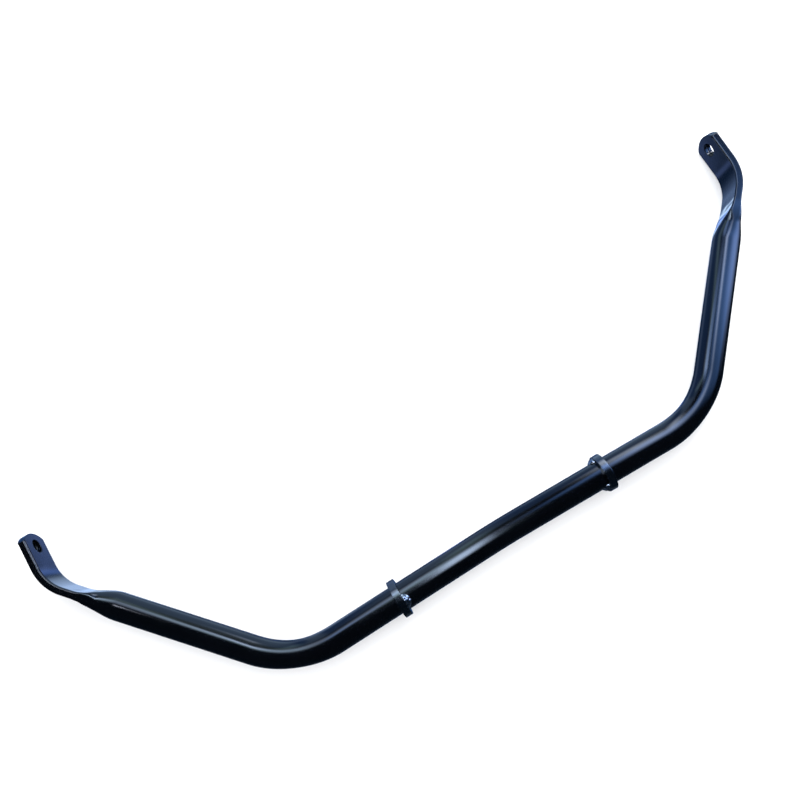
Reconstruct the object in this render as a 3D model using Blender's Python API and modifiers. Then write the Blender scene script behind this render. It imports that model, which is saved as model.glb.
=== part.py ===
"""Suspension sway bar: a bent steel tube with pressed, pierced ends and two welded stop collars.

Metres, +Z up. The bar lies in the XY plane: X runs along the main run, +Y points to the eyes,
and Z is square to the bend plane. The origin is the centre of the whole part's bounding box.
"""

import math
from collections import namedtuple

import bmesh
import bpy
from mathutils import Matrix, Vector

# ---------------------------------------------------------------- tube and centreline
TUBE_OD = 0.0254  # one inch tube
TUBE_RADIUS = TUBE_OD / 2
TUBE_WALL = 0.0033

MAIN_HALF = 0.2127  # centre plane to the corner where main run and arm axes meet
MAIN_DIP_DEG = 1.1  # each half of the main run falls towards -Y by this much
MAIN_DIP_RUN = 0.020  # half length of the soft bend at the centre
MAIN_BEND_DEG = 48.9
MAIN_BEND_RADIUS = 0.090
ARM_LENGTH = 0.232  # corner to corner
EYE_BEND_RADIUS = 0.045
EYE_FROM_CORNER = 0.0371
BEND_OVAL = 0.075  # the tube narrows in the bend plane by this share at a main bend
OVAL_RISE = 0.55  # and grows in height by this part of that share

DIP = math.radians(MAIN_DIP_DEG)
ARM_DEG = MAIN_BEND_DEG - MAIN_DIP_DEG  # arm's angle to X
EYE_BEND_DEG = 90 - ARM_DEG  # the eye plates end up square to X
EYE_BEND_REACH = EYE_BEND_RADIUS * math.tan(math.radians(EYE_BEND_DEG) / 2)
SOFT_BEND_RADIUS = MAIN_DIP_RUN / math.tan(DIP)

# ---------------------------------------------------------------- pressed ends
PLATE_THICK = 0.0070  # two walls pressed almost together
PLATE_HEIGHT = 0.0352
PLATE_EDGE_RADIUS = 0.0016
PRESS_START = 0.065  # the tube starts to flatten this far before the arm's outer corner
PRESS_END = 0.027  # and is flat this far before it
EDGE_START = 0.35  # share of the pressing at which the round sides start to square up
EYE_DIAMETER = 0.0130
TIP_FROM_EYE = 0.0135
TIP_CROWN_RADIUS = 0.0255
TIP_CORNER_UPPER = 0.0010
TIP_CORNER_LOWER = 0.0042

# How far shapes run past what they cut or are cut by
BAR_PAST_TIP = 0.003
BORE_PAST_TIP = 0.009
TIP_CUTTER_PAST_TIP = 0.010
TIP_CUTTER_PAST_EDGE = 0.004
TIP_CUTTER_WIDTH = 0.024
EYE_CUTTER_LENGTH = 0.03

# ---------------------------------------------------------------- collars and welds
COLLAR_FROM_CENTRE = 0.107
COLLAR_OD = 0.0350
COLLAR_WIDTH = 0.0070
COLLAR_CHAMFER = 0.0005
FIT_GAP = 0.0003  # between pieces that touch on the real bar
STATION_DISPLAY_SIZE = 0.02

BEAD_SPAN_DEG = 66
BEAD_LEG = 0.0052  # along the bar
BEAD_RISE = 0.0040  # away from the bar
BEAD_RIPPLE = 0.07  # swell and shrink of the bead, as a share of its size
BEAD_RIPPLE_RATE = 9.0  # radians of ripple over half the bead's span
BEADS = {  # by side: name ending, angle about the collar's inboard axis from straight up
    "left": (("upper", 19), ("lower", 199)),
    "right": (("rear", 93), ("front", 273)),
}

CLEARANCE_REACH = 0.030  # each way along the bar from the collar's centre
CLEARANCE_PAST_COLLAR = 0.004  # radially
CLEARANCE_BORE_RADIUS = 0.002

# ---------------------------------------------------------------- mesh steps
OUTER_PER_QUARTER = 7
BORE_PER_QUARTER = 4
ARC_STEP_DEG = 5.5
MIN_ARC_STEPS = 3
PRESS_STEPS = 11
TIP_STEPS = 22
EYE_SEGMENTS = 36
COLLAR_STEPS = 44
CLEARANCE_STEPS = 72
BEAD_SEGMENTS = 18
BEAD_RINGS = 11
BAR_SHARP_DEG = 34
BEAD_SHARP_DEG = 50

SIDES = (("left", -1), ("right", 1))  # name and sign of X

# A straight or circular piece of the centreline
Run = namedtuple("Run", "length start heading curvature")
# A place for one section: corner_gap is the distance left before the arm's outer corner,
# and bend_share is 0 to 1 along a main bend
Slice = namedtuple("Slice", "point heading corner_gap bend_share")


# ---------------------------------------------------------------- scene helpers
def clear_scene():
    for obj in list(bpy.data.objects):
        bpy.data.objects.remove(obj, do_unlink=True)
    for collection in list(bpy.data.collections):
        bpy.data.collections.remove(collection)


def new_collection(name):
    collection = bpy.data.collections.new(name)
    bpy.context.scene.collection.children.link(collection)
    return collection


def coating(name, colour, roughness, metallic, coat=0.5):
    """A dark paint; coat is the weight of the clear layer over it."""
    material = bpy.data.materials.new(name)
    material.use_nodes = True
    shader = material.node_tree.nodes["Principled BSDF"]
    shader.inputs["Base Color"].default_value = (*colour, 1.0)
    shader.inputs["Roughness"].default_value = roughness
    shader.inputs["Metallic"].default_value = metallic
    shader.inputs["Coat Weight"].default_value = coat
    material.diffuse_color = (*colour, 1.0)
    return material


def add_object(name, mesh, collection, material=None, parent=None):
    obj = bpy.data.objects.new(name, mesh)
    collection.objects.link(obj)
    if material:
        mesh.materials.append(material)
    obj.parent = parent
    return obj


def mesh_object(name, bm, collection, material=None, parent=None):
    bmesh.ops.recalc_face_normals(bm, faces=bm.faces)
    mesh = bpy.data.meshes.new(name)
    bm.to_mesh(mesh)
    bm.free()
    return add_object(name, mesh, collection, material, parent)


def turned(name, profile, steps, collection, material=None, parent=None):
    """A closed profile of (radius, axial) points, turned about local Z."""
    mesh = bpy.data.meshes.new(name)
    indices = list(range(len(profile)))
    mesh.from_pydata(
        [(radius, 0.0, axial) for radius, axial in profile],
        list(zip(indices, indices[1:] + indices[:1])),
        [],
    )
    obj = add_object(name, mesh, collection, material, parent)
    screw = obj.modifiers.new("turn", "SCREW")
    screw.angle = 2 * math.pi
    screw.steps = steps
    screw.render_steps = steps
    screw.use_merge_vertices = True
    screw.merge_threshold = 1e-6
    screw.use_smooth_shade = True
    return obj


def as_cutter(obj):
    obj.hide_render = True
    obj.display_type = "WIRE"
    return obj


def cut(obj, cutter):
    modifier = obj.modifiers.new("cut_" + cutter.name, "BOOLEAN")
    modifier.operation = "DIFFERENCE"
    modifier.solver = "EXACT"
    modifier.object = cutter


def smooth(obj, angle_deg):
    obj.data.shade_smooth()
    obj.data.set_sharp_from_angle(angle=math.radians(angle_deg))


# ---------------------------------------------------------------- the bar's centreline
def fillet_runs(corners, radii):
    """Straight runs joined by tangent arcs, one radius for each inner corner."""
    runs = []
    start = Vector(corners[0])
    for i in range(1, len(corners)):
        corner = Vector(corners[i])
        along = (corner - Vector(corners[i - 1])).normalized()
        heading = math.atan2(along.y, along.x)
        if i == len(corners) - 1:
            runs.append(Run((corner - start).length, start, heading, 0.0))
            break
        after = (Vector(corners[i + 1]) - corner).normalized()
        turn = math.atan2(along.x * after.y - along.y * after.x, along.dot(after))
        radius = radii[i - 1]
        reach = radius * math.tan(abs(turn) / 2)
        runs.append(Run((corner - start).length - reach, start, heading, 0.0))
        runs.append(
            Run(
                length=radius * abs(turn),
                start=corner - along * reach,
                heading=heading,
                curvature=math.copysign(1 / radius, turn),
            )
        )
        start = corner + after * reach
    return runs


def on_run(run, distance):
    """Point and heading this far along a run."""
    _, start, heading, curvature = run
    if curvature == 0.0:
        step = Vector((math.cos(heading), math.sin(heading))) * distance
        return start + step, heading
    turned_heading = heading + curvature * distance
    chord = Vector(
        (
            (math.sin(turned_heading) - math.sin(heading)) / curvature,
            (math.cos(heading) - math.cos(turned_heading)) / curvature,
        )
    )
    return start + chord, turned_heading


def half_corners(past_tip=0.0):
    """Corner points from the centre out to the right-hand tip, with the centre at the origin."""
    arm = math.radians(ARM_DEG)
    centre = Vector((0.0, 0.0))
    knee = Vector((MAIN_HALF, -MAIN_HALF * math.tan(DIP)))
    wrist = knee + Vector((math.cos(arm), math.sin(arm))) * ARM_LENGTH
    tip = wrist + Vector((0.0, EYE_FROM_CORNER + TIP_FROM_EYE + past_tip))
    return centre, knee, wrist, tip


def centring_shift():
    """The Y shift that centres the part, which spans from the collars' -Y side to the tips."""
    lowest = (
        -COLLAR_FROM_CENTRE * math.tan(DIP)
        - COLLAR_OD / 2 * math.cos(DIP)
        - (COLLAR_WIDTH / 2 - COLLAR_CHAMFER) * math.sin(DIP)
    )
    highest = half_corners()[-1].y
    return -(lowest + highest) / 2


def bar_runs(past_tip, shift):
    """The whole centreline, left tip to right tip, moved by shift in Y."""
    half = half_corners(past_tip)
    corners = [(-corner.x, corner.y + shift) for corner in reversed(half[1:])]
    corners += [(corner.x, corner.y + shift) for corner in half]
    radii = [
        EYE_BEND_RADIUS,
        MAIN_BEND_RADIUS,
        SOFT_BEND_RADIUS,
        MAIN_BEND_RADIUS,
        EYE_BEND_RADIUS,
    ]
    return fillet_runs(corners, radii)


def run_slices(runs):
    """The slices down the bar, closest together on the arcs and where the tube flattens."""
    # Distances before the arm's outer corner: one midway along the flat, the rest down the press
    press_gaps = [EYE_BEND_REACH + (PRESS_END - EYE_BEND_REACH) * 0.5]
    press_gaps += [
        PRESS_END + (PRESS_START - PRESS_END) * k / PRESS_STEPS for k in range(PRESS_STEPS + 1)
    ]
    from_arm_end = [gap - EYE_BEND_REACH for gap in press_gaps]

    slices = []
    total = len(runs)
    for index, run in enumerate(runs):
        length = run.length
        from_tip = min(index, total - 1 - index)  # 0 eye, 1 eye bend, 2 arm, 3 main bend
        outward = index > total // 2
        if run.curvature:
            arc_deg = math.degrees(length * abs(run.curvature))
            count = max(MIN_ARC_STEPS, math.ceil(arc_deg / ARC_STEP_DEG))
            distances = [length * k / count for k in range(1, count + 1)]
        elif from_tip == 2:
            distances = sorted(length - gap if outward else gap for gap in from_arm_end)
            distances.append(length)
        else:
            distances = [length]
        if index == 0:
            distances.insert(0, 0.0)
        for distance in distances:
            point, heading = on_run(run, distance)
            if from_tip == 2:
                corner_gap = (length - distance if outward else distance) + EYE_BEND_REACH
            elif from_tip < 2:
                corner_gap = 0.0  # fully flat
            else:
                corner_gap = PRESS_START  # fully round
            bend_share = distance / length if from_tip == 3 else 0.0
            slices.append(Slice(point, heading, corner_gap, bend_share))
    return slices


# ---------------------------------------------------------------- the bar's section
def smoothstep(share):
    share = min(1.0, max(0.0, share))
    return share * share * (3 - 2 * share)


def section_size(corner_gap, bend_share, inset):
    """Thickness in the bend plane, height and corner radius of the section."""
    press = smoothstep((PRESS_START - corner_gap) / (PRESS_START - PRESS_END))
    thick = TUBE_OD + (PLATE_THICK - TUBE_OD) * press
    spread = (PLATE_HEIGHT - TUBE_OD) / (TUBE_OD - PLATE_THICK)
    height = TUBE_OD + (TUBE_OD - thick) * spread
    edge = smoothstep((press - EDGE_START) / (1 - EDGE_START))
    radius = thick / 2 * (1 - edge) + PLATE_EDGE_RADIUS * edge

    oval = BEND_OVAL * math.sin(math.pi * bend_share) ** 2
    stretch = 1 + oval * OVAL_RISE
    thick = thick * (1 - oval) - 2 * inset
    height = height * stretch - 2 * inset
    if inset:
        radius = max(radius - inset, PLATE_EDGE_RADIUS)
    else:
        radius = radius * stretch
    return thick, height, min(radius, thick / 2)


def section_ring(thick, height, radius, per_quarter):
    """A rounded rectangle round the bar's axis, as (in plane, up) pairs."""
    points = []
    for quarter in range(4):
        middle = (quarter + 0.5) * math.pi / 2
        across = math.copysign(thick / 2 - radius, math.cos(middle))
        up = math.copysign(height / 2 - radius, math.sin(middle))
        for j in range(per_quarter):
            angle = (quarter + (j + 0.5) / per_quarter) * math.pi / 2
            points.append((across + radius * math.cos(angle), up + radius * math.sin(angle)))
    return points


def loft(runs, per_quarter, inset):
    """The bar's outer surface, or its bore when inset is the wall, closed by a face at each end."""
    bm = bmesh.new()
    rings = []
    for point, heading, corner_gap, bend_share in run_slices(runs):
        size = section_size(corner_gap, bend_share, inset)
        sideways = Vector((-math.sin(heading), math.cos(heading), 0.0))
        base = Vector((point.x, point.y, 0.0))
        rings.append(
            [
                bm.verts.new(base + sideways * across + Vector((0.0, 0.0, z)))
                for across, z in section_ring(*size, per_quarter)
            ]
        )
    around = 4 * per_quarter
    for first, second in zip(rings, rings[1:]):
        for k in range(around):
            following = (k + 1) % around
            bm.faces.new((first[k], first[following], second[following], second[k]))
    bm.faces.new(rings[0])
    bm.faces.new(rings[-1])
    return bm


# ---------------------------------------------------------------- trimmed and pierced ends
def tip_outline():
    """Y and Z of the waste past the crowned tip, with the eye centre at the origin."""
    half = PLATE_HEIGHT / 2
    edge = []
    for k in range(TIP_STEPS + 1):
        z = half * math.cos(math.pi * k / TIP_STEPS)
        y = TIP_FROM_EYE - (TIP_CROWN_RADIUS - math.sqrt(TIP_CROWN_RADIUS**2 - z * z))
        corner = TIP_CORNER_UPPER if z > 0 else TIP_CORNER_LOWER
        into = abs(z) - (half - corner)
        if into > 0:
            y -= corner - math.sqrt(max(0.0, corner**2 - into**2))
        edge.append((y, z))
    clear = half + TIP_CUTTER_PAST_EDGE
    beyond = TIP_FROM_EYE + TIP_CUTTER_PAST_TIP
    return [
        (edge[0][0], clear),
        *edge,
        (edge[-1][0], -clear),
        (beyond, -clear),
        (beyond, clear),
    ]


def tip_cutter(side, x, eye_y, collection):
    bm = bmesh.new()
    face = bm.faces.new(
        [bm.verts.new((x - TIP_CUTTER_WIDTH / 2, eye_y + y, z)) for y, z in tip_outline()]
    )
    swept = bmesh.ops.extrude_face_region(bm, geom=[face])
    moved = [item for item in swept["geom"] if isinstance(item, bmesh.types.BMVert)]
    bmesh.ops.translate(bm, vec=(TIP_CUTTER_WIDTH, 0.0, 0.0), verts=moved)
    return as_cutter(mesh_object("tip_trim_" + side, bm, collection))


def eye_cutter(side, x, eye_y, collection):
    bm = bmesh.new()
    bmesh.ops.create_cone(
        bm,
        cap_ends=True,
        segments=EYE_SEGMENTS,
        radius1=EYE_DIAMETER / 2,
        radius2=EYE_DIAMETER / 2,
        depth=EYE_CUTTER_LENGTH,
        matrix=Matrix.Translation((x, eye_y, 0.0)) @ Matrix.Rotation(math.pi / 2, 4, "Y"),
    )
    return as_cutter(mesh_object("eye_pierce_" + side, bm, collection))


def bent_tube_bar(shift, parts, cutters, material):
    outer = loft(bar_runs(BAR_PAST_TIP, shift), OUTER_PER_QUARTER, inset=0.0)
    bar = mesh_object("bent_tube_bar", outer, parts, material)
    inner = loft(bar_runs(BORE_PAST_TIP, shift), BORE_PER_QUARTER, inset=TUBE_WALL)
    cut(bar, as_cutter(mesh_object("tube_bore", inner, cutters)))

    wrist = half_corners()[2]
    eye_y = wrist.y + EYE_FROM_CORNER + shift
    for side, sign in SIDES:
        cut(bar, tip_cutter(side, sign * wrist.x, eye_y, cutters))
        cut(bar, eye_cutter(side, sign * wrist.x, eye_y, cutters))
    smooth(bar, BAR_SHARP_DEG)


# ---------------------------------------------------------------- collars and welds
def collar_station(side, sign, shift, collection):
    """An empty on the bar's axis at a collar: local Z points inboard, local X straight up."""
    inboard = Vector((-sign * math.cos(DIP), math.sin(DIP), 0.0))
    up = Vector((0.0, 0.0, 1.0))
    frame = Matrix((up, inboard.cross(up), inboard)).transposed().to_4x4()
    frame.translation = Vector(
        (sign * COLLAR_FROM_CENTRE, shift - COLLAR_FROM_CENTRE * math.tan(DIP), 0.0)
    )
    empty = add_object("collar_station_" + side, None, collection)
    empty.empty_display_size = STATION_DISPLAY_SIZE
    empty.matrix_world = frame
    return empty


def stop_collar(side, station, collection, material):
    """A ring round the bar, chamfered on its two outer edges."""
    inner = TUBE_RADIUS + FIT_GAP
    outer = COLLAR_OD / 2
    half = COLLAR_WIDTH / 2
    profile = [
        (outer - COLLAR_CHAMFER, half),
        (outer, half - COLLAR_CHAMFER),
        (outer, -half + COLLAR_CHAMFER),
        (outer - COLLAR_CHAMFER, -half),
        (inner, -half),
        (inner, half),
    ]
    turned("stop_collar_" + side, profile, COLLAR_STEPS, collection, material, station)


def bead_clearance(side, station, collection):
    """The space the bar and the collar need beside a weld bead, as one turned cutter."""
    bar = TUBE_RADIUS + FIT_GAP
    face = COLLAR_WIDTH / 2 + FIT_GAP
    wide = COLLAR_OD / 2 + CLEARANCE_PAST_COLLAR
    profile = [
        (bar, CLEARANCE_REACH),
        (bar, face),
        (wide, face),
        (wide, -CLEARANCE_REACH),
        (CLEARANCE_BORE_RADIUS, -CLEARANCE_REACH),
        (CLEARANCE_BORE_RADIUS, CLEARANCE_REACH),
    ]
    name = "bead_clearance_" + side
    return as_cutter(turned(name, profile, CLEARANCE_STEPS, collection, parent=station))


def weld_bead(name, angle_deg, station, clearance, collection, material):
    """A tack weld in the corner between the bar and a collar's inboard face."""
    bm = bmesh.new()
    bmesh.ops.create_uvsphere(bm, u_segments=BEAD_SEGMENTS, v_segments=BEAD_RINGS, radius=1.0)
    # Wrap the unit sphere round the bar: its Z goes round, its Y along and its X outwards
    for vert in bm.verts:
        rise, along, around = vert.co
        ripple = 1 + BEAD_RIPPLE * math.cos(around * BEAD_RIPPLE_RATE)
        turn = math.radians(angle_deg + around * BEAD_SPAN_DEG / 2)
        radial = TUBE_RADIUS + rise * BEAD_RISE * ripple
        vert.co = (
            radial * math.cos(turn),
            radial * math.sin(turn),
            COLLAR_WIDTH / 2 + along * BEAD_LEG * ripple,
        )
    bead = mesh_object(name, bm, collection, material, station)
    cut(bead, clearance)
    smooth(bead, BEAD_SHARP_DEG)


# ---------------------------------------------------------------- build
def build():
    clear_scene()
    parts = new_collection("sway_bar")
    cutters = new_collection("cutters")

    bar_black = coating(
        "bar_coating", colour=(0.010, 0.012, 0.018), roughness=0.34, metallic=0.0
    )
    collar_black = coating(
        "collar_coating", colour=(0.012, 0.014, 0.019), roughness=0.38, metallic=0.0
    )
    weld_black = coating(
        "weld_coating", colour=(0.030, 0.031, 0.040), roughness=0.28, metallic=0.2
    )

    shift = centring_shift()
    bent_tube_bar(shift, parts, cutters, bar_black)
    for side, sign in SIDES:
        station = collar_station(side, sign, shift, parts)
        stop_collar(side, station, parts, collar_black)
        clearance = bead_clearance(side, station, cutters)
        for ending, angle_deg in BEADS[side]:
            name = f"weld_bead_{side}_{ending}"
            weld_bead(name, angle_deg, station, clearance, parts, weld_black)


build()
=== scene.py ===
"""Looks of a suspension sway bar: a bent tube with two pressed eye plates, two collars and
four welds, each a fine mesh that stands for its CAD node.

Lengths are in metres, in the CAD frame: X along the main run, +Y to the eyes, +Z up. The bar
lies flat in the XY plane and mirrors at X = 0.
"""

import math
from collections import namedtuple

import bmesh
import bpy
import numpy as np
from mathutils import Matrix, Vector, noise


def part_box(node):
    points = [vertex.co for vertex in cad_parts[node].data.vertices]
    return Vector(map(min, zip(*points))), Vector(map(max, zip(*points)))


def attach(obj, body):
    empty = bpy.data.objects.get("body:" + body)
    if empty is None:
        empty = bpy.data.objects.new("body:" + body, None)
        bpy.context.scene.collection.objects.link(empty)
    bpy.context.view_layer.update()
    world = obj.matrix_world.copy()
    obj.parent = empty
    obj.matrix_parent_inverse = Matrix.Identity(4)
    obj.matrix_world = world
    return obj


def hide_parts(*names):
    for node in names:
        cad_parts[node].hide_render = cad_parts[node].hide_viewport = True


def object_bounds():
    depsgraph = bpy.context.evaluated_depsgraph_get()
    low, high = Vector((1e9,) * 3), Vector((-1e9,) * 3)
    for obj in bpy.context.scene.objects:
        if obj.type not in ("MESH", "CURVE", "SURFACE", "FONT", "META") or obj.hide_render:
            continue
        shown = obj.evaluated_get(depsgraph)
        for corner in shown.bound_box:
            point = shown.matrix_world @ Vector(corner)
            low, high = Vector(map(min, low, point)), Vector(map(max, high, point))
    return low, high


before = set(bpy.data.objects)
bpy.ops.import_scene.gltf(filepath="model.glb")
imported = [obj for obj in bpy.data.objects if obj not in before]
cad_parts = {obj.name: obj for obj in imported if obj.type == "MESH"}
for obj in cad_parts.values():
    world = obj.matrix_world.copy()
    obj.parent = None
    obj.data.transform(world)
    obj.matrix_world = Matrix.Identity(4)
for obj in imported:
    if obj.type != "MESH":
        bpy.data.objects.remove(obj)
cad_low, cad_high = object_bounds()

# ------------------------------------------------------------------ sizes
# A "knee" joins the main run to an arm; a "wrist" turns the arm to face +Y at its eye.
TUBE_OD = 0.0254
TUBE_R = TUBE_OD / 2
TUBE_WALL = 0.0033
MAIN_HALF = 0.2127  # centre plane to knee corner, along X
DIP = math.radians(1.1)  # fall of the main run away from its middle
DIP_RUN = 0.020  # tangent length of half the soft middle bend
KNEE = math.radians(48.9)
KNEE_R = 0.090
ARM = 0.232  # knee corner to wrist corner
WRIST_R = 0.045
WRIST = math.pi / 2 - (KNEE - DIP)
EYE_FROM_WRIST = 0.0371
TIP_FROM_EYE = 0.0135
OVAL = 0.075  # share the tube thins at mid knee
OVAL_GROWTH = 0.55  # share of that gained in height
PLATE_T = 0.0070
PLATE_H = 0.0352
PLATE_EDGE = 0.0016  # radius along the plate's folded edges
PRESS_START = 0.065  # flattening starts and ends this far before the wrist corner
PRESS_END = 0.027
EYE_R = 0.0065
EYE_BREAK = 0.0005
CROWN_R = 0.0255  # rounded tip of the plate
CORNER_UP = 0.0010
CORNER_LOW = 0.0042
SHEARED_EDGE = 0.0004  # edge radius round the tip
SLIT_DEPTH = 0.0011  # closed seam between the two walls, in the tip's edge
SLIT_FADE = 0.0008
CRINKLE = 0.00042

EYE_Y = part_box("bent_tube_bar")[1].y - TIP_FROM_EYE
WRIST_POINT = Vector(
    (
        MAIN_HALF + ARM * math.cos(KNEE - DIP),
        -MAIN_HALF * math.tan(DIP) + ARM * math.sin(KNEE - DIP),
    )
)
LIFT = EYE_Y - EYE_FROM_WRIST - WRIST_POINT.y
WRIST_REACH = WRIST_R * math.tan(WRIST / 2)  # wrist corner to the ends of its bend
UP = Vector((0.0, 0.0, 1.0))

Run = namedtuple("Run", "kind length start heading curve")
Station = namedtuple("Station", "point heading to_corner knee_share")


def smoothstep(t):
    t = min(1.0, max(0.0, t))
    return t * t * (3 - 2 * t)


def mix(start, end, share):
    return start + (end - start) * share


def band(first, second, closed=True):
    """Quads between two matching rows of vertex numbers."""
    count = len(first)
    quads = []
    for k in range(count if closed else count - 1):
        n = (k + 1) % count
        quads.append((first[k], first[n], second[n], second[k]))
    return quads


def mesh_piece(node, verts, faces, slot):
    """A closed smooth mesh that rides on the bar and stands for this CAD node."""
    shape = bmesh.new()
    made = [shape.verts.new(v) for v in verts]
    for face in faces:
        shape.faces.new([made[i] for i in face])
    bmesh.ops.recalc_face_normals(shape, faces=shape.faces)
    mesh = bpy.data.meshes.new(node + "_fine")
    shape.to_mesh(mesh)
    shape.free()
    mesh.shade_smooth()
    piece = bpy.data.objects.new(node + "_fine", mesh)
    bpy.context.scene.collection.objects.link(piece)
    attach(piece, "root")
    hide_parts(node)
    return piece


# ------------------------------------------------------------------ centreline
STATION_STEPS = {"soft": 0.005, "main": 0.006, "knee": 0.0022, "arm": 0.006, "wrist": 0.0011}
PRESS_STEP = 0.0008  # closer stations where the tube is pressed
PRESS_LEAD = 0.004
CUT_GAP = 0.003  # least room between the coarse and the close stations


def half_runs():
    """Runs of the right half (+X), from the centre plane to the end of the wrist."""
    soft_r = DIP_RUN / math.tan(DIP)
    knee = Vector((MAIN_HALF, -MAIN_HALF * math.tan(DIP) + LIFT))
    wrist = WRIST_POINT + Vector((0.0, LIFT))
    knee_reach = KNEE_R * math.tan(KNEE / 2)
    main_way = Vector((math.cos(DIP), -math.sin(DIP)))
    arm_way = Vector((math.cos(KNEE - DIP), math.sin(KNEE - DIP)))
    crown = Vector((0.0, LIFT - soft_r * (1 / math.cos(DIP) - 1)))
    start = Vector((0.0, LIFT)) + main_way * DIP_RUN
    main_length = (knee - start).length - knee_reach
    arm_length = ARM - knee_reach - WRIST_REACH
    wrist_start = wrist - arm_way * WRIST_REACH
    return [
        Run("soft", soft_r * DIP, crown, 0.0, -1 / soft_r),
        Run("main", main_length, start, -DIP, 0.0),
        Run("knee", KNEE_R * KNEE, knee - main_way * knee_reach, -DIP, 1 / KNEE_R),
        Run("arm", arm_length, knee + arm_way * knee_reach, KNEE - DIP, 0.0),
        Run("wrist", WRIST_R * WRIST, wrist_start, KNEE - DIP, 1 / WRIST_R),
    ]


def along(run, distance):
    """Point and heading this far into a straight or circular run."""
    heading, curve = run.heading, run.curve
    if curve == 0.0:
        return run.start + Vector((math.cos(heading), math.sin(heading))) * distance, heading
    turned = heading + curve * distance
    shift = Vector(
        (
            (math.sin(turned) - math.sin(heading)) / curve,
            (math.cos(heading) - math.cos(turned)) / curve,
        )
    )
    return run.start + shift, turned


def half_stations():
    """Stations outward, with the distance left to the wrist corner and share of the knee."""
    made = []
    for run in half_runs():
        kind, length = run.kind, run.length
        count = max(2, round(length / STATION_STEPS[kind]) + 1)
        cuts = list(np.linspace(0, length, count))
        if kind == "arm":
            fine = length + WRIST_REACH - (PRESS_START + PRESS_LEAD)
            cuts = [cut for cut in cuts if cut < fine - CUT_GAP]
            cuts += list(np.linspace(fine, length, int((length - fine) / PRESS_STEP) + 1))
        for cut in cuts[1:] if made else cuts:
            point, heading = along(run, cut)
            # 1.0 stands for well clear of the pressed end
            to_corner = {
                "arm": length - cut + WRIST_REACH,
                "wrist": WRIST_REACH - cut,
            }.get(kind, 1.0)
            knee_share = cut / length if kind == "knee" else 0.0
            made.append(Station(point, heading, to_corner, knee_share))
    return made


# ------------------------------------------------------------------ section
QUARTER = 28  # samples from the in-plane side to the top
AROUND = 4 * QUARTER
TALL = 10  # of them on half the plate's face
SHORT = 6  # and on half the plate's edge
# from the edge's corner to its middle: share of the half width, and share of the slit's depth
SHORT_SPACING = (1.0, 0.50, 0.17, 0.13, 0.115, 0.05, 0.0)
SLIT_SHAPE = (0.0, 0.0, 0.0, 0.08, 1.0, 1.0, 1.0)


def quarter(thick, height, radius):
    """A quarter of the section as (in plane, up), from the side to just short of the top."""
    flat_x, flat_z = thick / 2 - radius, height / 2 - radius
    tall = TALL / QUARTER * min(1.0, flat_z / (PLATE_H / 2 - PLATE_EDGE))
    short = SHORT / QUARTER * min(1.0, flat_x / (PLATE_T / 2 - PLATE_EDGE))
    points = []
    for k in range(QUARTER):
        share = k / QUARTER
        if share < tall:
            points.append((thick / 2, flat_z * share / tall))
        elif share <= 1 - short or short < 1e-9:
            turn = (share - tall) / (1 - tall - short) * math.pi / 2
            points.append((flat_x + radius * math.cos(turn), flat_z + radius * math.sin(turn)))
        else:
            at = (share - 1 + short) / short * SHORT
            i = min(SHORT - 1, int(at))
            spacing = mix(SHORT_SPACING[i], SHORT_SPACING[i + 1], at - i)
            points.append((flat_x * spacing, height / 2))
    return points


def whole_ring(thick, height, radius):
    points = quarter(thick, height, radius)
    back = points[:0:-1]
    return (
        points
        + [(0.0, height / 2)]
        + [(-x, z) for x, z in back]
        + [(-thick / 2, 0.0)]
        + [(-x, -z) for x, z in points[1:]]
        + [(0.0, -height / 2)]
        + [(x, -z) for x, z in back]
    )


def section_size(to_corner, knee_share):
    """(thickness in plane, height, corner radius) of the tube as it flattens to the plate."""
    press = smoothstep((PRESS_START - to_corner) / (PRESS_START - PRESS_END))
    thick = mix(TUBE_OD, PLATE_T, press)
    height = TUBE_OD + (TUBE_OD - thick) * (PLATE_H - TUBE_OD) / (TUBE_OD - PLATE_T)
    edge = smoothstep((press - 0.35) / 0.65)
    radius = mix(thick / 2, PLATE_EDGE, edge)
    oval = OVAL * math.sin(math.pi * knee_share) ** 2
    grown = 1 + oval * OVAL_GROWTH
    thick, height = thick * (1 - oval), height * grown
    radius = min(radius * grown, thick / 2, height / 2)
    return thick, height, radius


def crinkle(to_corner, z, seed):
    """In-plane waver of the pressed flank, where the tube wall folds down to the plate."""
    near_plate = smoothstep((to_corner - PRESS_END + 0.006) / 0.010)
    near_tube = smoothstep((PRESS_START - 0.012 - to_corner) / 0.016)
    spot = Vector((to_corner * 150, z * 70, seed * 4.0))
    return CRINKLE * noise.noise(spot) * near_plate * near_tube


# ------------------------------------------------------------------ eye plate
SIDE_STEP = 0.0014  # spacing along the straight edges
CROWN_STEP = 0.0007  # and round the tip
FACE_STEPS = (0.03, 0.11, 0.24, 0.40, 0.58, 0.76, 0.90, 0.97)  # shares from eye to outline


def side_points(start, end, up, facing):
    count = round(abs(end - start) / SIDE_STEP)
    return [(mix(start, end, k / count), up, facing, PLATE_EDGE) for k in range(1, count)]


def corner_points(centre, radius, turn, edges, steps):
    """A rounded corner, turning from and to these angles while its edge radius changes."""
    points = []
    for k in range(steps + 1):
        facing = mix(*turn, k / steps)
        points.append(
            (
                centre[0] + radius * math.cos(facing),
                centre[1] + radius * math.sin(facing),
                facing,
                mix(*edges, smoothstep(k / steps)),
            )
        )
    return points


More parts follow.
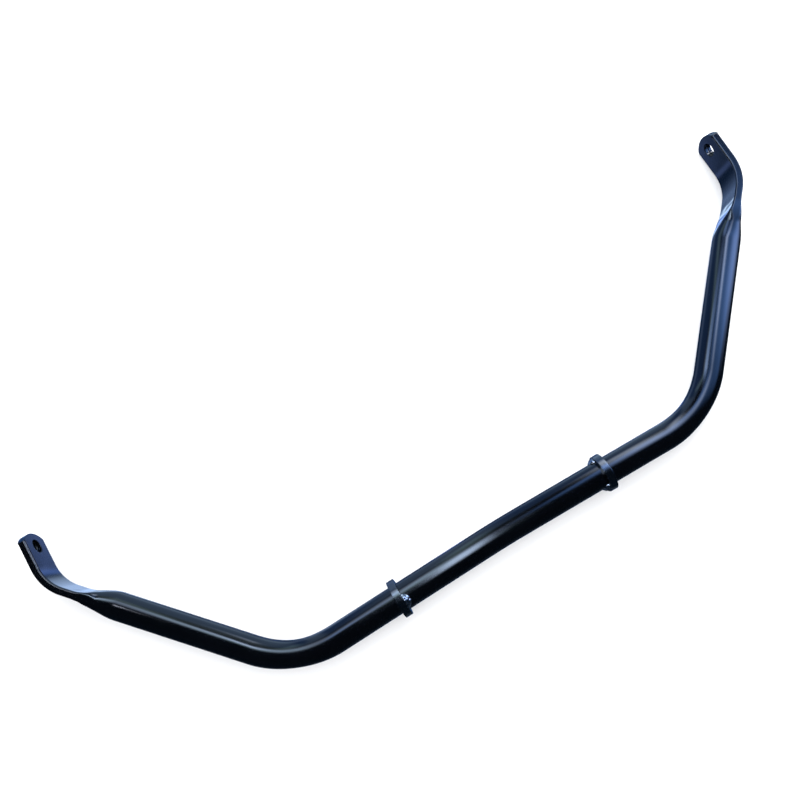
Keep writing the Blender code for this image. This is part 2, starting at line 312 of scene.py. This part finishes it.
def outline_path(start):
    """Free outline of an eye plate from its top edge round the crowned tip to its lower edge,
    as (from the eye to the tip, up, direction out, edge radius, slit)."""
    half = PLATE_H / 2
    centre = TIP_FROM_EYE - CROWN_R
    reach_up = math.sqrt((CROWN_R - CORNER_UP) ** 2 - (half - CORNER_UP) ** 2)
    reach_low = math.sqrt((CROWN_R - CORNER_LOW) ** 2 - (half - CORNER_LOW) ** 2)
    angle_up = math.atan2(half - CORNER_UP, reach_up)
    angle_low = math.atan2(half - CORNER_LOW, reach_low)
    path = side_points(start, centre + reach_up, half, math.pi / 2)
    path += corner_points(
        centre=(centre + reach_up, half - CORNER_UP),
        radius=CORNER_UP,
        turn=(math.pi / 2, angle_up),
        edges=(PLATE_EDGE, SHEARED_EDGE),
        steps=8,
    )
    count = round(CROWN_R * (angle_up + angle_low) / CROWN_STEP)
    for k in range(1, count):
        facing = mix(angle_up, -angle_low, k / count)
        x, y = centre + CROWN_R * math.cos(facing), CROWN_R * math.sin(facing)
        path.append((x, y, facing, SHEARED_EDGE))
    path += corner_points(
        centre=(centre + reach_low, -half + CORNER_LOW),
        radius=CORNER_LOW,
        turn=(-angle_low, -math.pi / 2),
        edges=(SHEARED_EDGE, PLATE_EDGE),
        steps=12,
    )
    path += side_points(centre + reach_low, start, -half, -math.pi / 2)
    slit_end = half - TUBE_WALL
    return [
        (*place, up, facing, edge, slit_share(slit_end - abs(up), facing))
        for *place, up, facing, edge in path
    ]


def slit_share(inside, facing):
    """The slit shows only where the outline faces the tip, and fades at its ends."""
    return smoothstep(inside / SLIT_FADE) if abs(facing) < 1.2 else 0.0


def rim_profile(edge, slit):
    """(depth in from the outline, across) over the plate's edge, from one face to the other."""
    ring = whole_ring(PLATE_T, PLATE_H, edge)
    profile = []
    for k in range(TALL, 2 * QUARTER - TALL + 1):
        across, z = ring[k]
        from_top = abs(k - QUARTER)
        sunk = SLIT_SHAPE[SHORT - from_top] if from_top <= SHORT else 0.0
        profile.append((PLATE_H / 2 - z + sunk * slit * SLIT_DEPTH, across))
    return profile


def eye_profile():
    """(radius, across) through the hole, from one face to the other, with a seam half way."""
    centre = PLATE_T / 2 - EYE_BREAK
    side = [
        (EYE_R + EYE_BREAK * (1 - math.sin(turn)), centre + EYE_BREAK * math.cos(turn))
        for turn in np.linspace(0, math.pi / 2, 7)
    ]
    side += [
        (EYE_R, 0.0010),
        (EYE_R, 0.00027),
        (EYE_R + 0.00008, 0.00021),
        (EYE_R + 0.0012, 0.00019),
        (EYE_R + 0.0012, 0.0),
    ]
    return side + [(radius, -across) for radius, across in reversed(side[:-1])]


# ------------------------------------------------------------------ bar
def tube_ring(verts, station, sign):
    """Adds one section of the tube; returns its vertex numbers."""
    across = Vector((-math.sin(station.heading), math.cos(station.heading)))
    first = len(verts)
    for offset, z in whole_ring(*section_size(station.to_corner, station.knee_share)):
        waver = crinkle(station.to_corner, z, sign * (1 if offset > 0 else 2))
        at = station.point + across * (offset + waver)
        verts.append((sign * at.x, at.y, z))
    return list(range(first, len(verts)))


def eye_plate(verts, faces, ring, end, sign):
    """Adds the pierced plate past the tube's last ring."""

    def place(forward, up, across):
        """From the eye's centre to the tip, up, and across the plate to its inner side."""
        verts.append((sign * (end.x - across), EYE_Y + forward, up))
        return len(verts) - 1

    columns = [
        [
            place(forward - math.cos(facing) * depth, up - math.sin(facing) * depth, across)
            for depth, across in rim_profile(edge, slit)
        ]
        for forward, up, facing, edge, slit in outline_path(end.y - EYE_Y)
    ]
    top = ring[TALL : 2 * QUARTER - TALL + 1]
    low = ring[2 * QUARTER + TALL : AROUND - TALL + 1][::-1]
    strip = [top] + columns + [low]
    for first, second in zip(strip, strip[1:]):
        faces += band(first, second, closed=False)

    # each face's outline closes along the tube's last ring
    inner = [column[0] for column in strip]
    inner += [ring[k % AROUND] for k in range(AROUND - TALL + 1, AROUND + TALL)]
    outer = [column[-1] for column in strip]
    outer += [ring[k] for k in range(2 * QUARTER + TALL - 1, 2 * QUARTER - TALL, -1)]
    angles = [math.atan2(verts[i][2], verts[i][1] - EYE_Y) for i in inner]
    wall = [
        [place(radius * math.cos(turn), radius * math.sin(turn), across) for turn in angles]
        for radius, across in eye_profile()
    ]
    for loop, rim, across in ((inner, wall[0], PLATE_T / 2), (outer, wall[-1], -PLATE_T / 2)):
        rows = [rim]
        for share in FACE_STEPS:
            row = []
            for i, j in zip(rim, loop):
                forward = mix(verts[i][1], verts[j][1], share) - EYE_Y
                row.append(place(forward, mix(verts[i][2], verts[j][2], share), across))
            rows.append(row)
        rows.append(loop)
        for first, second in zip(rows, rows[1:]):
            faces += band(first, second)
    for first, second in zip(wall, wall[1:]):
        faces += band(first, second)


def bar_mesh():
    """The whole bar as vertices and faces: one half's loft and eye plate, mirrored at X = 0."""
    verts, faces = [], []
    stations = half_stations()
    centre_ring = tube_ring(verts, stations[0], 1)
    for sign in (1, -1):
        rings = [centre_ring] + [tube_ring(verts, station, sign) for station in stations[1:]]
        for first, second in zip(rings, rings[1:]):
            faces += band(first, second)
        eye_plate(verts, faces, rings[-1], stations[-1].point, sign)
    return verts, faces


# ------------------------------------------------------------------ collars
COLLAR_HALF = 0.0035  # half its width along the bar
COLLAR_R = 0.0175
COLLAR_BREAK = 0.00042
COLLAR_SEGMENTS = 160
COLLAR_WOBBLE = 0.0009


def station_frame(side):
    """The CAD's collar frame: local Z inboard along the bar, local X straight up."""
    low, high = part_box("stop_collar_" + side)
    sign = -1.0 if side == "left" else 1.0
    inboard = Vector((-sign * math.cos(DIP), math.sin(DIP), 0.0))
    placed = Matrix((UP, inboard.cross(UP), inboard)).transposed().to_4x4()
    placed.translation = (low + high) / 2
    return placed


def collar(side, phase):
    """A ring with square faces, a fine break on each edge and a slightly wavy rim."""
    placed = station_frame(side)
    corner = [
        (
            COLLAR_R - COLLAR_BREAK + COLLAR_BREAK * math.sin(turn),
            COLLAR_HALF - COLLAR_BREAK + COLLAR_BREAK * math.cos(turn),
        )
        for turn in np.linspace(0, math.pi / 2, 6)
    ]
    bore = TUBE_R - 0.00004
    face = [
        (bore, COLLAR_HALF - 0.0003),
        (bore + 0.00024, COLLAR_HALF - 0.00006),
        (bore + 0.0006, COLLAR_HALF),
        (mix(bore, COLLAR_R, 0.5), COLLAR_HALF + 0.00002),
    ]
    half = face + corner + [(COLLAR_R, 0.0016)]
    profile = half + [(COLLAR_R, 0.0)] + [(radius, -z) for radius, z in reversed(half)]
    verts, rows = [], []
    for k in range(COLLAR_SEGMENTS):
        turn = 2 * math.pi * k / COLLAR_SEGMENTS
        wobble = 1 + COLLAR_WOBBLE * math.sin(3 * turn + phase)
        rows.append(range(len(verts), len(verts) + len(profile)))
        for radius, z in profile:
            grown = radius if radius < TUBE_R + 0.001 else radius * wobble
            verts.append(placed @ Vector((grown * math.cos(turn), grown * math.sin(turn), z)))
    faces = []
    for first, second in zip(rows, rows[1:] + rows[:1]):
        faces += band(first, second)
    return mesh_piece("stop_collar_" + side, verts, faces, "collar_coating")


# ------------------------------------------------------------------ welds
BEADS = (
    # side, place, degrees round the bar from straight up, seed
    ("left", "upper", 19, 3.1),
    ("left", "lower", 199, 8.4),
    ("right", "rear", 93, 5.7),
    ("right", "front", 273, 1.9),
)
BEAD_SPAN = math.radians(66)
BEAD_LEG = 0.0050  # along the bar
BEAD_RISE = 0.0039  # away from it
BEAD_POWER = 1.35  # section between a diamond (1) and an ellipse (2)
BEAD_AROUND = 96
BEAD_ROWS = 56


def weld(side, ending, angle_deg, seed):
    """A short rippled fillet on the collar's inboard face: a lumpy ball bent round the bar."""
    placed = station_frame(side)

    def point(x, y, z):
        """x away from the bar, y along the bar, z round it, on the unit sphere."""
        turn = math.radians(angle_deg) + z * BEAD_SPAN / 2
        phi = math.atan2(x, y)
        squared = (abs(math.cos(phi)) ** BEAD_POWER + abs(math.sin(phi)) ** BEAD_POWER) ** (
            -1 / BEAD_POWER
        )
        wave = 0.5 + 0.5 * math.cos(z * 19 + seed + 0.9 * math.cos(phi))
        spot = Vector((x * 1.6, y * 1.6, z * 3.0)) + Vector((seed, 2.0 * seed, 0.3))
        lump = noise.noise(spot) * 0.16 + noise.noise(spot * 2.7) * 0.07
        grow = math.hypot(x, y) * squared * (1 + lump + 0.07 * wave)
        radial = TUBE_R + grow * math.sin(phi) * BEAD_RISE
        leg = grow * math.cos(phi) * BEAD_LEG
        return placed @ Vector(
            (radial * math.cos(turn), radial * math.sin(turn), COLLAR_HALF + leg)
        )

    verts, faces = [point(0, 0, 1)], []
    for i in range(1, BEAD_ROWS):
        tilt = math.pi * i / BEAD_ROWS
        for j in range(BEAD_AROUND):
            spin = 2 * math.pi * j / BEAD_AROUND
            x, y = math.sin(tilt) * math.cos(spin), math.sin(tilt) * math.sin(spin)
            verts.append(point(x, y, math.cos(tilt)))
    verts.append(point(0, 0, -1))
    last = len(verts) - 1
    for j in range(BEAD_AROUND):
        n = (j + 1) % BEAD_AROUND
        faces.append((0, 1 + j, 1 + n))
        faces.append((last, last - BEAD_AROUND + n, last - BEAD_AROUND + j))
        for i in range(BEAD_ROWS - 2):
            row = 1 + i * BEAD_AROUND
            below = row + BEAD_AROUND
            faces.append((row + j, below + j, below + n, row + n))
    return mesh_piece(f"weld_bead_{side}_{ending}", verts, faces, "weld_coating")


# ------------------------------------------------------------------ materials
SPECK_COLOUR = (0.010, 0.010, 0.011)
WORN_COLOUR = (0.045, 0.043, 0.042)
WORN_ROUGHNESS = 0.12  # added where the coat is worn
PEEL_DEPTH = 0.0002


def coating(name, base, roughness, peel, ior, rubbed):
    """Semi-gloss black coat: slow drift of tone, orange peel, dust specks and rubbed edges."""
    material = bpy.data.materials.new(name)
    material.use_nodes = True
    nodes, links = material.node_tree.nodes, material.node_tree.links
    shader = nodes["Principled BSDF"]
    where = nodes.new("ShaderNodeTexCoord").outputs["Object"]

    def texture(scale, detail, rough):
        node = nodes.new("ShaderNodeTexNoise")
        node.inputs["Scale"].default_value = scale
        node.inputs["Detail"].default_value = detail
        node.inputs["Roughness"].default_value = rough
        links.new(where, node.inputs["Vector"])
        return node.outputs["Fac"]

    def ramp(source, span, to=(0.0, 1.0)):
        node = nodes.new("ShaderNodeMapRange")
        limits = zip(("From Min", "From Max", "To Min", "To Max"), (*span, *to))
        for socket, value in limits:
            node.inputs[socket].default_value = value
        links.new(source, node.inputs["Value"])
        return node.outputs["Result"]

    def blend(factor, *colours):
        node = nodes.new("ShaderNodeMix")
        node.data_type = "RGBA"
        links.new(factor, node.inputs["Factor"])
        # sockets 6 and 7 are the colours A and B, and output 2 their mix
        for target, value in zip(node.inputs[6:8], colours):
            if isinstance(value, tuple):
                target.default_value = (*value, 1.0)
            else:
                links.new(value, target)
        return node.outputs[2]

    drift = texture(scale=18, detail=3, rough=0.5)
    dark, light = (tuple(c * gain for c in base) for gain in (0.75, 1.35))
    tone = blend(ramp(drift, span=(0.35, 0.65)), dark, light)
    # dust in the coat, and sharp edges rubbed thin in broken patches
    dust = texture(scale=2600, detail=1, rough=0.4)
    tone = blend(ramp(dust, span=(0.72, 0.76), to=(0.0, 0.5)), tone, SPECK_COLOUR)
    pointed = nodes.new("ShaderNodeNewGeometry").outputs["Pointiness"]
    sharp = ramp(pointed, span=(0.52, 0.60))
    patches = texture(scale=240, detail=4, rough=0.7)
    broken = ramp(patches, span=(0.45, 0.62), to=(0.0, rubbed))
    worn = nodes.new("ShaderNodeMath")
    worn.operation = "MULTIPLY"
    links.new(sharp, worn.inputs[0])
    links.new(broken, worn.inputs[1])
    links.new(blend(worn.outputs[0], tone, WORN_COLOUR), shader.inputs["Base Color"])
    shader.inputs["Metallic"].default_value = 0.0
    shader.inputs["IOR"].default_value = ior
    rough = nodes.new("ShaderNodeMath")
    rough.operation = "MULTIPLY_ADD"
    links.new(worn.outputs[0], rough.inputs[0])
    rough.inputs[1].default_value = WORN_ROUGHNESS
    haze = texture(scale=60, detail=4, rough=0.6)
    uneven = ramp(haze, span=(0.3, 0.7), to=(roughness * 0.85, roughness * 1.2))
    links.new(uneven, rough.inputs[2])
    links.new(rough.outputs[0], shader.inputs["Roughness"])
    bump = nodes.new("ShaderNodeBump")
    bump.inputs["Strength"].default_value = peel
    bump.inputs["Distance"].default_value = PEEL_DEPTH
    links.new(texture(scale=900, detail=3, rough=0.55), bump.inputs["Height"])
    links.new(bump.outputs["Normal"], shader.inputs["Normal"])
    return material


BAR_COAT = dict(base=(0.0004, 0.0005, 0.0008), roughness=0.13, peel=0.06, ior=1.5, rubbed=0.5)
COLLAR_COAT = dict(base=(0.0005, 0.0006, 0.0009), roughness=0.14, peel=0.08, ior=1.9, rubbed=0.8)
WELD_COAT = dict(base=(0.002, 0.002, 0.003), roughness=0.11, peel=0.12, ior=3.3, rubbed=0.5)

bar = mesh_piece("bent_tube_bar", *bar_mesh(), "bar_coating")
bar.modifiers.new("even_normals", "WEIGHTED_NORMAL").weight = 60
bar.data.materials.append(coating("bar_coating", **BAR_COAT))
for side, phase in (("left", 0.7), ("right", 2.1)):
    ring = collar(side, phase)
    ring.modifiers.new("even_normals", "WEIGHTED_NORMAL")
    ring.data.materials.append(coating("collar_coating_" + side, **COLLAR_COAT))
for side, ending, angle, seed in BEADS:
    bead = weld(side, ending, angle, seed)
    bead.data.materials.append(coating(f"weld_coating_{side}_{ending}", **WELD_COAT))

# ------------------------------------------------------------------ floor
FLOOR_HALF = 6
FLOOR_GAP = 0.0001  # below the CAD's lowest point


def studio_floor():
    mesh = bpy.data.meshes.new("studio_floor")
    corners = [(x * FLOOR_HALF, y * FLOOR_HALF, 0) for x, y in ((-1, -1), (1, -1), (1, 1), (-1, 1))]
    mesh.from_pydata(corners, [], [(0, 1, 2, 3)])
    floor = bpy.data.objects.new("studio_floor", mesh)
    floor.location.z = cad_low.z - FLOOR_GAP
    bpy.context.scene.collection.objects.link(floor)
    floor.visible_glossy = False
    paper = bpy.data.materials.new("floor_paper")
    paper.use_nodes = True
    shader = paper.node_tree.nodes["Principled BSDF"]
    shader.inputs["Base Color"].default_value = (0.86, 0.87, 0.89, 1.0)
    shader.inputs["Roughness"].default_value = 0.9
    shader.inputs["Specular IOR Level"].default_value = 0.1
    mesh.materials.append(paper)


studio_floor()

# ------------------------------------------------------------------ reflected studio
# Only reflections see the studio. The near windows are painted on a clear dome close round the
# bar and the pale walls on the world far behind it. A spot on either is placed by its angle
# from straight up as a share of a half turn: (0, 0) is overhead, 0.5 away is the horizon, +x
# and +y are the bar's.
DOME_R = 0.8
FILL = 1.55  # strength of the even light on what scatters it
WHITE = (1.0, 1.0, 1.0, 1.0)
DARK_SIDE = (0.01, 0.025, 0.05)  # far light everywhere
WALL = (0.1, 0.25, 0.7)  # near wall on the +y side
WALL_EDGE = (0.32, 0.12)  # its edge in y, and that edge's softness
NEAR_FLOOR = (0.25, 0.3, 0.35)  # below the horizon, dimmer away from +y
UNDER = (0.02, 0.06, 0.18)  # straight below
PANELS = (
    # centre, half size, turn in degrees, soft edges, light
    # a bright strip overhead and its soft surround towards +y
    ((-0.01, 0.05), (0.02, 0.10), 0, (0.03, 0.15), (11, 14, 19)),
    ((-0.05, 0.15), (0.02, 0.08), 0, (0.05, 0.10), (2, 3, 3.5)),
    ((-0.01, 0.35), (0.02, 0.12), 0, (0.05, 0.15), (1, 1.5, 1.5)),
    ((-0.07, 0.20), (0.06, 0.08), 30, (0.08, 0.10), (2, 2.5, 3.5)),
    # a second strip beside it, on +x
    ((0.17, 0.18), (0.02, 0.15), 0, (0.07, 0.18), (6, 7, 9)),
    # a bluer window on the +x side
    ((0.25, 0.02), (0.20, 0.06), -45, (0.10, 0.15), (0.8, 1.8, 4.5)),
    ((0.40, -0.05), (0.10, 0.05), -45, (0.15, 0.10), (2, 3, 6)),
    # small bright slits
    ((-0.20, 0.11), (0.03, 0.015), 0, (0.03, 0.02), (13, 14, 17)),
    ((0.31, 0.16), (0.05, 0.02), 0, (0.03, 0.03), (14, 15, 19)),
    ((0.44, 0.08), (0.05, 0.03), 0, (0.05, 0.03), (8, 9, 12)),
    # a dim patch almost straight below
    ((-0.15, 0.90), (0.10, 0.08), 0, (0.12, 0.07), (0.4, 0.6, 1.4)),
    # patches below the horizon, on -x and +x
    ((-0.57, 0.50), (0.26, 0.07), 55, (0.18, 0.08), (0.75, 1, 1.4)),
    ((0.62, 0.39), (0.05, 0.05), 0, (0.08, 0.08), (1.5, 2, 2.5)),
)
FAR_WALLS = (
    # columns as above: pale walls about the horizon
    ((0.28, 0.44), (0.15, 0.24), 0, (0.12, 0.14), (0.45, 0.6, 0.65)),
    ((-0.01, 0.52), (0.05, 0.16), 0, (0.05, 0.14), (0.4, 0.5, 0.5)),
    # a bluer window high up, and a dim patch far below the horizon
    ((-0.10, 0.22), (0.06, 0.04), -40, (0.06, 0.06), (1.5, 2.5, 5)),
    ((0.60, 0.60), (0.10, 0.05), 135, (0.12, 0.06), (0.2, 0.4, 1.2)),
)


class Painter:
    """Soft-edged patches of light on a sphere of directions, as shader nodes."""

    def __init__(self, tree, direction):
        self.nodes, self.links = tree.nodes, tree.links
        axes = self.nodes.new("ShaderNodeSeparateXYZ")
        self.links.new(direction, axes.inputs[0])
        x, y, z = axes.outputs
        flat = self.math("ADD", self.math("MULTIPLY", x, x), self.math("MULTIPLY", y, y))
        flat = self.math("MAXIMUM", self.math("SQRT", flat), 1e-5)
        self.tilt = self.math("DIVIDE", self.math("ARCTAN2", flat, z), math.pi)
        self.x = self.math("MULTIPLY", self.math("DIVIDE", x, flat), self.tilt)
        self.y = self.math("MULTIPLY", self.math("DIVIDE", y, flat), self.tilt)

    def put(self, value, socket):
        if isinstance(value, (int, float)):
            socket.default_value = value
        else:
            self.links.new(value, socket)

    def math(self, operation, first, second=0.0, third=None):
        node = self.nodes.new("ShaderNodeMath")
        node.operation = operation
        self.put(first, node.inputs[0])
        self.put(second, node.inputs[1])
        if third is not None:
            self.put(third, node.inputs[2])
        return node.outputs[0]

    def soft_edge(self, value, edge, width):
        """0 to 1 as value rises past edge, smoothed over width."""
        node = self.nodes.new("ShaderNodeMapRange")
        node.interpolation_type = "SMOOTHSTEP"
        self.put(value, node.inputs["Value"])
        node.inputs["From Min"].default_value = edge - width / 2
        node.inputs["From Max"].default_value = edge + width / 2
        return node.outputs["Result"]

    def panel(self, place, size, turn_deg, soft, colour):
        cos, sin = math.cos(math.radians(turn_deg)), math.sin(math.radians(turn_deg))
        math_node = self.math
        x, y = math_node("SUBTRACT", self.x, place[0]), math_node("SUBTRACT", self.y, place[1])
        turned = (
            math_node("ADD", math_node("MULTIPLY", x, cos), math_node("MULTIPLY", y, sin)),
            math_node("SUBTRACT", math_node("MULTIPLY", y, cos), math_node("MULTIPLY", x, sin)),
        )
        inside = [
            math_node("SUBTRACT", half, math_node("ABSOLUTE", offset))
            for half, offset in zip(size, turned)
        ]
        edges = [self.soft_edge(depth, 0.0, width) for depth, width in zip(inside, soft)]
        return self.tinted(math_node("MULTIPLY", *edges), colour)

    def tinted(self, factor, colour):
        node = self.nodes.new("ShaderNodeVectorMath")
        node.operation = "SCALE"
        node.inputs[0].default_value = colour
        self.put(factor, node.inputs["Scale"])
        return node.outputs[0]

    def total(self, parts):
        whole = parts[0]
        for part in parts[1:]:
            node = self.nodes.new("ShaderNodeVectorMath")
            node.operation = "ADD"
            self.links.new(whole, node.inputs[0])
            self.links.new(part, node.inputs[1])
            whole = node.outputs[0]
        return whole


def studio_world():
    """White for the camera, even light for what scatters it, far walls for reflections."""
    world = bpy.data.worlds.new("studio")
    bpy.context.scene.world = world
    world.cycles.sampling_method = "NONE"
    world.use_nodes = True
    nodes, links = world.node_tree.nodes, world.node_tree.links
    far = Painter(world.node_tree, nodes.new("ShaderNodeTexCoord").outputs["Generated"])
    walls = nodes.new("ShaderNodeBackground")
    parts = [far.tinted(1.0, DARK_SIDE)] + [far.panel(*wall) for wall in FAR_WALLS]
    links.new(far.total(parts), walls.inputs["Color"])
    plain = nodes["Background"]
    backdrop = nodes.new("ShaderNodeBackground")
    for node, strength in ((plain, FILL), (backdrop, 1.0)):
        node.inputs["Color"].default_value = WHITE
        node.inputs["Strength"].default_value = strength
    path = nodes.new("ShaderNodeLightPath")

    def switch(ray, others, shown):
        node = nodes.new("ShaderNodeMixShader")
        for source, target in zip((path.outputs[ray], others, shown), node.inputs):
            links.new(source, target)
        return node.outputs[0]

    mirrored = switch("Is Glossy Ray", plain.outputs[0], walls.outputs[0])
    seen = switch("Is Camera Ray", mirrored, backdrop.outputs[0])
    links.new(seen, nodes["World Output"].inputs[0])


def studio_dome():
    """The near windows; a clear shell that adds their light to reflections and nothing else."""
    shape = bmesh.new()
    bmesh.ops.create_uvsphere(shape, u_segments=96, v_segments=48, radius=DOME_R)
    mesh = bpy.data.meshes.new("studio_dome")
    shape.to_mesh(mesh)
    shape.free()
    dome = bpy.data.objects.new("studio_dome", mesh)
    bpy.context.scene.collection.objects.link(dome)
    for ray in ("camera", "diffuse", "transmission", "volume_scatter", "shadow"):
        setattr(dome, "visible_" + ray, False)
    material = bpy.data.materials.new("studio_windows")
    material.use_nodes = True
    material.cycles.emission_sampling = "NONE"
    mesh.materials.append(material)
    nodes, links = material.node_tree.nodes, material.node_tree.links
    nodes.remove(nodes["Principled BSDF"])
    near = Painter(material.node_tree, nodes.new("ShaderNodeNewGeometry").outputs["Position"])
    low = near.soft_edge(near.tilt, edge=0.66, width=0.08)
    under = near.soft_edge(near.tilt, edge=0.77, width=0.13)
    lit = near.math("SUBTRACT", 1.0, under)
    # the near floor keeps 0.4 of its light away from +y
    ahead = near.math("MULTIPLY_ADD", near.soft_edge(near.y, edge=0.32, width=0.10), 0.6, 0.4)
    parts = [
        near.tinted(near.math("MULTIPLY", near.soft_edge(near.y, *WALL_EDGE), lit), WALL),
        near.tinted(near.math("MULTIPLY", near.math("MULTIPLY", low, lit), ahead), NEAR_FLOOR),
        near.tinted(under, UNDER),
    ]
    parts += [near.panel(*window) for window in PANELS]
    glow = nodes.new("ShaderNodeEmission")
    links.new(near.total(parts), glow.inputs["Color"])
    both = nodes.new("ShaderNodeAddShader")
    links.new(glow.outputs[0], both.inputs[0])
    links.new(nodes.new("ShaderNodeBsdfTransparent").outputs[0], both.inputs[1])
    links.new(both.outputs[0], nodes["Material Output"].inputs[0])


studio_world()
studio_dome()


# ------------------------------------------------------------------ light and camera
def window_light():
    """One large soft light from above +X +Y, aimed at the origin and hidden in reflections."""
    light = bpy.data.lights.new("window", "AREA")
    light.shape = "RECTANGLE"
    light.size, light.size_y = 2.2, 1.6
    light.energy = 90
    light.color = (0.98, 0.99, 1.0)
    lamp = bpy.data.objects.new("window", light)
    place = Vector((0.9, 1.9, 1.9))
    lamp.location = place
    lamp.rotation_euler = (-place).to_track_quat("-Z", "Y").to_euler()
    lamp.visible_glossy = False
    bpy.context.scene.collection.objects.link(lamp)


def photo_view():
    """Camera above the bar, looking nearly straight down."""
    lens = bpy.data.cameras.new("photo_view")
    lens.sensor_width = 36
    lens.lens = 34.2
    lens.clip_start = 0.01
    camera = bpy.data.objects.new("photo_view", lens)
    right = Vector((0.85733, -0.51386, -0.03053))
    down = Vector((-0.51090, -0.84215, -0.17252))
    ahead = Vector((0.06294, 0.16350, -0.98453))
    pose = Matrix((right, -down, -ahead)).transposed().to_4x4()
    pose.translation = Vector((-0.059627, -0.064106, 0.689396))
    camera.matrix_world = pose
    bpy.context.scene.collection.objects.link(camera)
    bpy.context.scene.camera = camera


window_light()
photo_view()
bpy.context.scene.view_settings.view_transform = "Standard"
